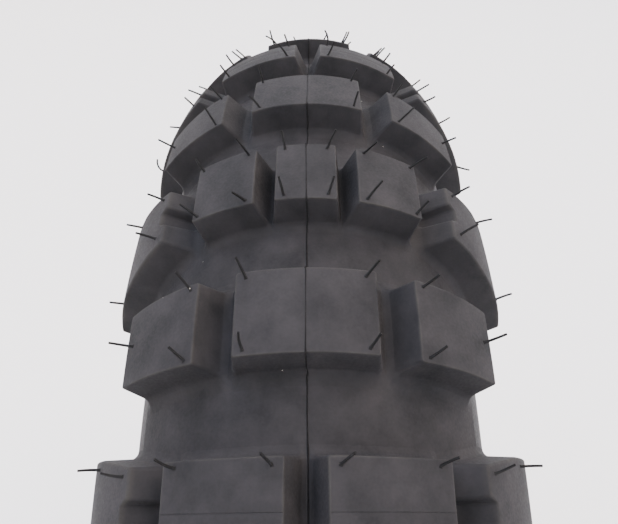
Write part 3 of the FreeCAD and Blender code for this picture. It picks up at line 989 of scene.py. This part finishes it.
@dataclass
class VentHairs:
    """The rubber whiskers left by the mould's vent holes, on the tops of the knobs."""

    tread: Tread
    thickness: float = 0.48 * MM
    length: tuple[float, float] = (5.5 * MM, 8.0 * MM)
    lean: float = 0.3
    stray: float = 0.15
    curl: float = 0.035
    curls: tuple[int, ...] = (1, 1, 1, 3)
    foot_size: float = 2.0
    foot_root: float = 0.4 * MM
    foot_height: float = 0.15 * MM
    taper: float = 0.03
    steps: int = 5
    sides: int = 5
    clear: float = 0.5 * MM
    along: float = 12.0 * MM

    def places(self) -> list[tuple[Row, float, float]]:
        """Where the hairs of each row stand: the row, place round the tyre, angle across."""
        out = self.along
        pairs = {Row.WIDE: (14.2, 29.0), Row.SHORT: (5.7, 15.9, 30.0), Row.TWIN: (7.1, 29.1)}
        spots = [(row, x, a) for row, angles in pairs.items() for a in angles for x in (-out, out)]
        spots += [(Row.WIDE, -0.5 * MM, 49.5)]
        shoulder = ((9.0, 46.9), (-11.0, 46.5), (-14.5, 63.0), (14.0, 74.0))
        return spots + [(Row.SHOULDER, x * MM, angle) for x, angle in shoulder]

    def hair(self, frame_at: Matrix) -> BMesh:
        """Grow one hair.

        Args:
            frame_at: its foot, with x round the tyre, y outwards across and z out of the tread.

        Returns:
            The closed hair.
        """
        bm = bmesh.new()
        length = random.uniform(*self.length)
        back, wide = random.gauss(-self.lean, self.stray), random.gauss(self.lean, self.stray)
        way = Vector((back, wide, 1))
        stand = Vector((0, 0, 1)).rotation_difference(way).to_matrix().to_4x4()
        swing = random.gauss(0, self.curl) * random.choice(self.curls)
        around = random.uniform(0, math.pi)
        curl = Matrix.Rotation(swing, 4, (math.cos(around), math.sin(around), 0))
        here = frame_at @ stand
        root = Matrix.Translation((0, 0, -self.foot_root))
        frames = [here @ root @ Matrix.Scale(self.foot_size, 4)]
        here = here @ Matrix.Translation((0, 0, self.foot_height))
        frames.append(here)
        for step in range(self.steps):
            here = here @ curl @ Matrix.Translation((0, 0, length / self.steps))
            frames.append(here @ Matrix.Scale(1 - self.taper * (step + 1), 4))
        bmesh.ops.create_circle(
            bm, cap_ends=True, radius=self.thickness, segments=self.sides, matrix=frames[0]
        )
        bmesh.ops.edgeloop_fill(bm, edges=sweep(bm, bm.edges[:], frames))
        return bm

    def build(self, finish: Material) -> Object:
        """Build the hairs that stay clear of the ground.

        Args:
            finish: the rubber.

        Returns:
            The piece.
        """
        random.seed(SEED)
        section = self.tread.section
        ground = CAD_BOX[0][2] + self.clear
        bm = bmesh.new()
        one = bpy.data.meshes.new("hair")
        for row, x, degrees in self.places():
            for number in range(row.count):
                for side in Side:
                    angle = math.radians(degrees)
                    foot = section.tread(angle)
                    out = polar(1.0, angle)
                    wide = polar(1.0, angle + math.pi / 2)
                    axes = Matrix(((1, 0, 0), about_axle(wide, 0), about_axle(out, 0)))
                    local = Matrix.Translation(about_axle(foot, 0)) @ axes.transposed().to_4x4()
                    turn = round_axle(row.first + FULL_TURN * number / row.count + x / foot.y)
                    mirror = Matrix.Diagonal((1, side.value, 1, 1))
                    place = turn @ mirror @ local
                    tip = place @ Vector((0, 0, self.length[1]))
                    if tip.z > ground:
                        hair = self.hair(place)
                        hair.to_mesh(one)
                        hair.free()
                        bm.from_mesh(one)
        bpy.data.meshes.remove(one)
        return finish_piece(bm, "vent_hairs", finish)


# ---------------------------------------------------------------- sides and inside


@dataclass(frozen=True)
class Rib:
    """A low round rib on the side of the tyre, at a distance from the axle."""

    radius: float
    width: float = 1.2 * MM
    height: float = 0.5 * MM

    def points(self, section: Section) -> list[Vector]:
        """The rib's corners on the sidewall's outer face, from the top down."""
        out = polar(self.height, math.pi / 2 + section.face_lean)
        top = section.outside(self.radius + self.width / 2)
        low = section.outside(self.radius - self.width / 2)
        slope = (low - top) * 0.25
        return [top, top + slope + out, low - slope + out, low]


@dataclass
class Sidewall:
    """The outer rubber of one side: a smooth shoulder, then ribs and bands of fine bars."""

    section: Section
    side: Side
    ribs: tuple[Rib, ...] = (Rib(246.8 * MM), Rib(237.2 * MM, 0.9 * MM), Rib(233.2 * MM, 1.6 * MM))
    bar_height: float = 0.35 * MM
    bar_root: float = 0.1 * MM
    bar_share: float = 0.3
    bar_gaps: tuple[float, float] = (1.2 * MM, 1.0 * MM)
    bar_pitch: float = math.radians(0.55)
    bars_each: int = 118
    bands: int = 4
    steps: int = 360

    def outline(self) -> list[Vector]:
        """The closed section, from the crown over the shoulder to the chafer and back inside."""
        shape = self.section
        lowest = math.pi / 2 + shape.face_lean
        points = arc(shape.shoulder_centre, shape.shoulder_arc, shape.crown_span, lowest, 16)
        for rib in self.ribs:
            points += rib.points(shape)
        points.append(shape.outside(shape.chafer_top))
        depth = shape.liner + shape.plies
        inner = shape.shoulder_arc - shape.wall + depth
        back = arc(
            shape.shoulder_centre, inner, math.pi / 2 + shape.inner_lean, shape.crown_span, 10
        )
        points.append(shape.outside(shape.chafer_top) - Vector((shape.chafer_joint, 0)))
        return points + back

    def bars(self, bm: BMesh) -> None:
        """Add the fine radial bars between the two upper ribs.

        Args:
            bm: the sidewall's mesh.
        """
        top = self.section.outside(self.ribs[0].radius - self.bar_gaps[0])
        low = self.section.outside(self.ribs[1].radius + self.bar_gaps[1])
        out = polar(1.0, math.pi / 2 + self.section.face_lean)
        half = self.bar_pitch * top.y * self.bar_share
        ends = []
        for point in (top, low):
            foot = about_axle(point - out * self.bar_root, 0)
            tip = about_axle(point + out * self.bar_height, 0)
            ends.append([foot - Vector((half, 0, 0)), tip, foot + Vector((half, 0, 0))])
        others = set(bm.verts)
        outline_loop(bm, ends[0])
        bar = [vert for vert in bm.verts if vert not in others]
        bm.faces.new(bar)
        moved = new_parts(bmesh.ops.extrude_face_region(bm, geom=with_faces(bar)), BMVert)
        bmesh.ops.translate(bm, vec=ends[1][1] - ends[0][1], verts=moved)
        bmesh.ops.scale(bm, vec=(1, self.side.value, 1), verts=bar + moved)
        repeat_round(bm, with_faces(bar + moved), self.bar_pitch, self.bars_each)
        band = [vert for vert in bm.verts if vert not in others]
        repeat_round(bm, with_faces(band), FULL_TURN / self.bands, self.bands)

    def build(self, finish: Material) -> Object:
        """Build the sidewall.

        Args:
            finish: the rubber.

        Returns:
            The piece.
        """
        bm = spin_ring(self.outline(), self.steps)
        to_side(bm, self.side)
        self.bars(bm)
        end = self.side.name.lower()
        nodes = (f"sidewall_{end}",)
        return finish_piece(bm, f"ribbed_sidewall_{end}", finish, nodes)


@dataclass
class Chafer:
    """The hard foot of one side, which seats on the rim: toe, seat, rounded heel and flange."""

    section: Section
    side: Side
    toe: float = 0.8 * MM
    heel: float = 3.0 * MM
    steps: int = 288

    def outline(self) -> list[Vector]:
        """The closed section."""
        shape = self.section
        seat = shape.seat_radius
        bead = shape.bead_centre
        drop = (shape.inside(0.0, 0.0).y - seat - self.toe) / math.cos(shape.inner_lean)
        toe = shape.inside(0.0, drop)
        heel = shape.outside(seat + self.heel)
        lift = (bead.y - seat) / math.cos(shape.inner_lean) + shape.lap
        points = [shape.inside(0.0, drop - lift * i / 4) for i in range(4, 0, -1)]
        points += arc(Vector((toe.x + self.toe, toe.y)), self.toe, -math.pi / 2, -math.pi, 4)
        round_centre = Vector((heel.x - self.heel, heel.y))
        points += arc(round_centre, self.heel, math.pi, math.pi / 2, 6)
        points.append(shape.outside(seat + 1.9 * self.heel))
        points.append(shape.outside(shape.chafer_top))
        wrap = shape.plies + shape.bead
        points.append(shape.outside(shape.chafer_top) - Vector((shape.chafer_joint, 0)))
        points += arc(bead, wrap, math.pi / 2, 3 * math.pi / 2 - shape.inner_lean, 12)
        return points

    def build(self, finish: Material) -> Object:
        """Build the chafer.

        Args:
            finish: the hard rubber.

        Returns:
            The piece.
        """
        bm = spin_ring(self.outline(), self.steps)
        to_side(bm, self.side)
        end = self.side.name.lower()
        return finish_piece(bm, f"bead_foot_{end}", finish, (f"chafer_{end}",))


@dataclass
class InnerLiner:
    """The air-tight inside, with the fine ridges that the curing bladder's vents leave."""

    section: Section
    ridges: int = 120
    ridge_half: float = 0.5 * MM
    ridge_height: float = 0.35 * MM
    ridge_root: float = 0.2 * MM
    steps: int = 288

    def line(self, depth: float, steps: int) -> list[Vector]:
        """The inside of the tyre at a depth, from the left bead to the right."""
        shape = self.section
        radius = shape.shoulder_arc - shape.wall + depth
        bead = shape.bead_centre
        drop = (shape.inside(0.0, 0.0).y - bead.y) / math.cos(shape.inner_lean)
        end = shape.inside(depth, drop - shape.lap)
        turn = math.pi / 2 + shape.inner_lean
        crown = shape.floor_arc - shape.wall + depth
        half = arc(shape.crown_centre, crown, 0, shape.crown_span, steps)
        half += arc(shape.shoulder_centre, radius, shape.crown_span, turn, steps)[1:] + [end]
        return [Vector((-p.x, p.y)) for p in reversed(half[1:])] + half

    def build_ridges(self, bm: BMesh) -> None:
        """Add the ridges, each from one bead to the other.

        Args:
            bm: the liner's mesh.
        """
        points = self.line(0.0, 7)
        frames = []
        for before, here, after in zip(points[:1] + points, points, points[1:] + points[-1:]):
            along = about_axle(after - before, 0).normalized()
            across = Vector((1, 0, 0))
            inward = across.cross(along).normalized()
            inward = inward if inward.z < 0 or abs(here.x) > 0.03 else -inward
            basis = Matrix((across, along, inward)).transposed().to_4x4()
            frames.append(Matrix.Translation(about_axle(here, 0)) @ basis)
        half, root = self.ridge_half, -self.ridge_root
        corners = [(-half, root), (0, self.ridge_height), (half, root)]
        others = set(bm.verts)
        edges = outline_loop(bm, [frames[0] @ Vector((x, 0, z)) for x, z in corners])
        last = sweep(bm, edges, frames)
        bmesh.ops.edgeloop_fill(bm, edges=edges)
        bmesh.ops.edgeloop_fill(bm, edges=last)
        ridge = [vert for vert in bm.verts if vert not in others]
        repeat_round(bm, with_faces(ridge), FULL_TURN / self.ridges, self.ridges)

    def build(self, finish: Material) -> Object:
        """Build the liner.

        Args:
            finish: the butyl rubber.

        Returns:
            The piece.
        """
        outline = self.line(0.0, 16) + self.line(self.section.liner, 16)[::-1]
        bm = spin_ring(outline, self.steps)
        self.build_ridges(bm)
        return finish_piece(bm, "ridged_inner_liner", finish, ("inner_liner",))


@dataclass
class HiddenLayers:
    """The design's own pieces inside the rubber, which keep their shape and get a finish."""

    finishes: dict[str, Rubber | Cords | BeadSteel] = field(
        default_factory=lambda: {
            "carcass_ply": CARCASS_CORDS,
            "belt_ply": BELT_CORDS,
            "belt_edge_strip": BASE_RUBBER,
            "tread_base": BASE_RUBBER,
            "bead_filler": FILLER_RUBBER,
            "bead_wrap": WRAP_TAPE,
            "bead_core": BeadSteel(),
        }
    )

    def dress(self) -> None:
        """Give each buried node its material."""
        for start, finish in self.finishes.items():
            material = finish.material()
            for name, node in frame["nodes"].items():
                if name.startswith(start):
                    node.data.materials.clear()
                    node.data.materials.append(material)
                    LOG.info("%s: %s", name, material.name)


# ---------------------------------------------------------------- studio


@dataclass(frozen=True)
class Lamp:
    """A wide, soft, distant lamp. Its place is only a direction from the tyre."""

    name: str
    place: tuple[float, float, float]
    spread: float
    strength: float
    colour: str

    def build(self) -> None:
        """Hang the lamp."""
        data = bpy.data.lights.new(self.name, "SUN")
        data.angle = math.radians(self.spread)
        data.energy = self.strength
        data.color = linear(self.colour)[:3]
        lamp = bpy.data.objects.new(self.name, data)
        lamp.location = self.place
        lamp.rotation_euler = (-Vector(self.place)).to_track_quat("-Z", "Y").to_euler()
        bpy.context.scene.collection.objects.link(lamp)


@dataclass
class Studio:
    """A pale floor that curves up into a backdrop, soft lamps above, and the camera in front."""

    ground: float
    floor_radius: float = 9.0
    rim_sides: int = 96
    bend_radius: float = 4.0
    bend_steps: int = 12
    wall_height: float = 4.0
    floor_colour: str = "#f2f2f2"
    sky_colour: str = "#eef1f6"
    sky_strength: float = 0.2
    camera_place: tuple[float, float, float] = (0.33078, 0.0040, 0.38558)
    pitch: float = math.radians(27.904)
    yaw: float = math.radians(-0.957)
    roll: float = math.radians(-1.211)
    lens: float = 39.325
    lamps: tuple[Lamp, ...] = field(
        default_factory=lambda: (
            Lamp("top_lamp", (-0.2, 0.0, 1.0), 110.0, 7.4, "#f6faff"),
            Lamp("warm_lamp", (0.0, 0.7, 1.0), 60.0, 3.2, "#ffd6ac"),
            Lamp("cool_lamp", (0.0, -0.5, 1.0), 60.0, 1.0, "#6f9aff"),
            Lamp("front_lamp", (1.0, 0.0, 1.2), 30.0, 0.9, "#fffdfa"),
        )
    )

    def build_floor(self) -> None:
        """Lay the plain pale floor and curve its edge up all round."""
        bm = bmesh.new()
        move = Matrix.Translation((0, 0, self.ground))
        bmesh.ops.create_circle(
            bm, cap_ends=True, radius=self.floor_radius, segments=self.rim_sides, matrix=move
        )
        edges = bm.edges[:]
        bend = math.pi / 2 / self.bend_steps
        rises = [((i + 0.5) * bend, self.bend_radius * bend) for i in range(self.bend_steps)]
        for turn, chord in rises + [(math.pi / 2, self.wall_height)]:
            result = bmesh.ops.extrude_edge_only(bm, edges=edges)
            edges, rim = new_parts(result, BMEdge), new_parts(result, BMVert)
            radius = math.hypot(rim[0].co.x, rim[0].co.y)
            wider = (radius + chord * math.cos(turn)) / radius
            bmesh.ops.scale(bm, vec=(wider, wider, 1), verts=rim)
            bmesh.ops.translate(bm, vec=(0, 0, chord * math.sin(turn)), verts=rim)
        mesh = bpy.data.meshes.new("floor")
        bm.to_mesh(mesh)
        bm.free()
        mesh.shade_smooth()
        material, tree, place = start_material("matt_pale_paper")
        tone = add_node(tree, "TexNoise", {"Vector": place, "Scale": 0.8}).outputs[0]
        rough = add_node(tree, "MapRange", {0: tone, 3: 0.8, 4: 0.9}).outputs[0]
        close_material(tree, {"Base Color": linear(self.floor_colour), "Roughness": rough})
        mesh.materials.append(material)
        floor = bpy.data.objects.new("floor", mesh)
        bpy.context.scene.collection.objects.link(floor)

    def build_sky(self) -> None:
        """Fill in with an even pale light."""
        world = bpy.data.worlds.new("studio")
        world.use_nodes = True
        back = world.node_tree.nodes["Background"]
        back.inputs["Color"].default_value = linear(self.sky_colour)
        back.inputs["Strength"].default_value = self.sky_strength
        bpy.context.scene.world = world

    def build_camera(self) -> None:
        """Set the camera in front of the tyre, looking down at it."""
        forward = Vector(
            (
                -math.cos(self.pitch) * math.cos(self.yaw),
                math.cos(self.pitch) * math.sin(self.yaw),
                -math.sin(self.pitch),
            )
        )
        right = forward.cross(Vector((0, 0, 1))).normalized()
        up = right.cross(forward)
        turn = Matrix((right, up, -forward)).transposed() @ Matrix.Rotation(self.roll, 3, "Z")
        data = bpy.data.cameras.new("camera")
        data.lens = self.lens
        data.clip_start = 0.01
        camera = bpy.data.objects.new("camera", data)
        camera.matrix_world = Matrix.Translation(self.camera_place) @ turn.to_4x4()
        bpy.context.scene.collection.objects.link(camera)
        bpy.context.scene.camera = camera

    def build(self) -> None:
        """Build the whole studio."""
        self.build_floor()
        self.build_sky()
        for lamp in self.lamps:
            lamp.build()
        self.build_camera()


def main() -> None:
    """Build the tyre and its studio, from the tread inwards."""
    logging.basicConfig(level=logging.INFO, format="%(name)s: %(message)s")
    section = Section.from_frame()
    tread_rubber = TREAD_RUBBER.material()
    tread = Tread(section)
    tread.build(tread_rubber)
    # The fin and the hairs take the flash rubber, darkened as painted shade.
    flash_rubber = PAINTED_SHADE_FLASH.material()
    MouldLine(tread).build(flash_rubber)
    VentHairs(tread).build(flash_rubber)
    sidewall_rubber = SIDEWALL_RUBBER.material()
    chafer_rubber = CHAFER_RUBBER.material()
    for side in Side:
        Sidewall(section, side).build(sidewall_rubber)
        Chafer(section, side).build(chafer_rubber)
    InnerLiner(section).build(LINER_RUBBER.material())
    HiddenLayers().dress()
    Studio(ground=CAD_BOX[0][2]).build()


if __name__ == "__main__":
    main()
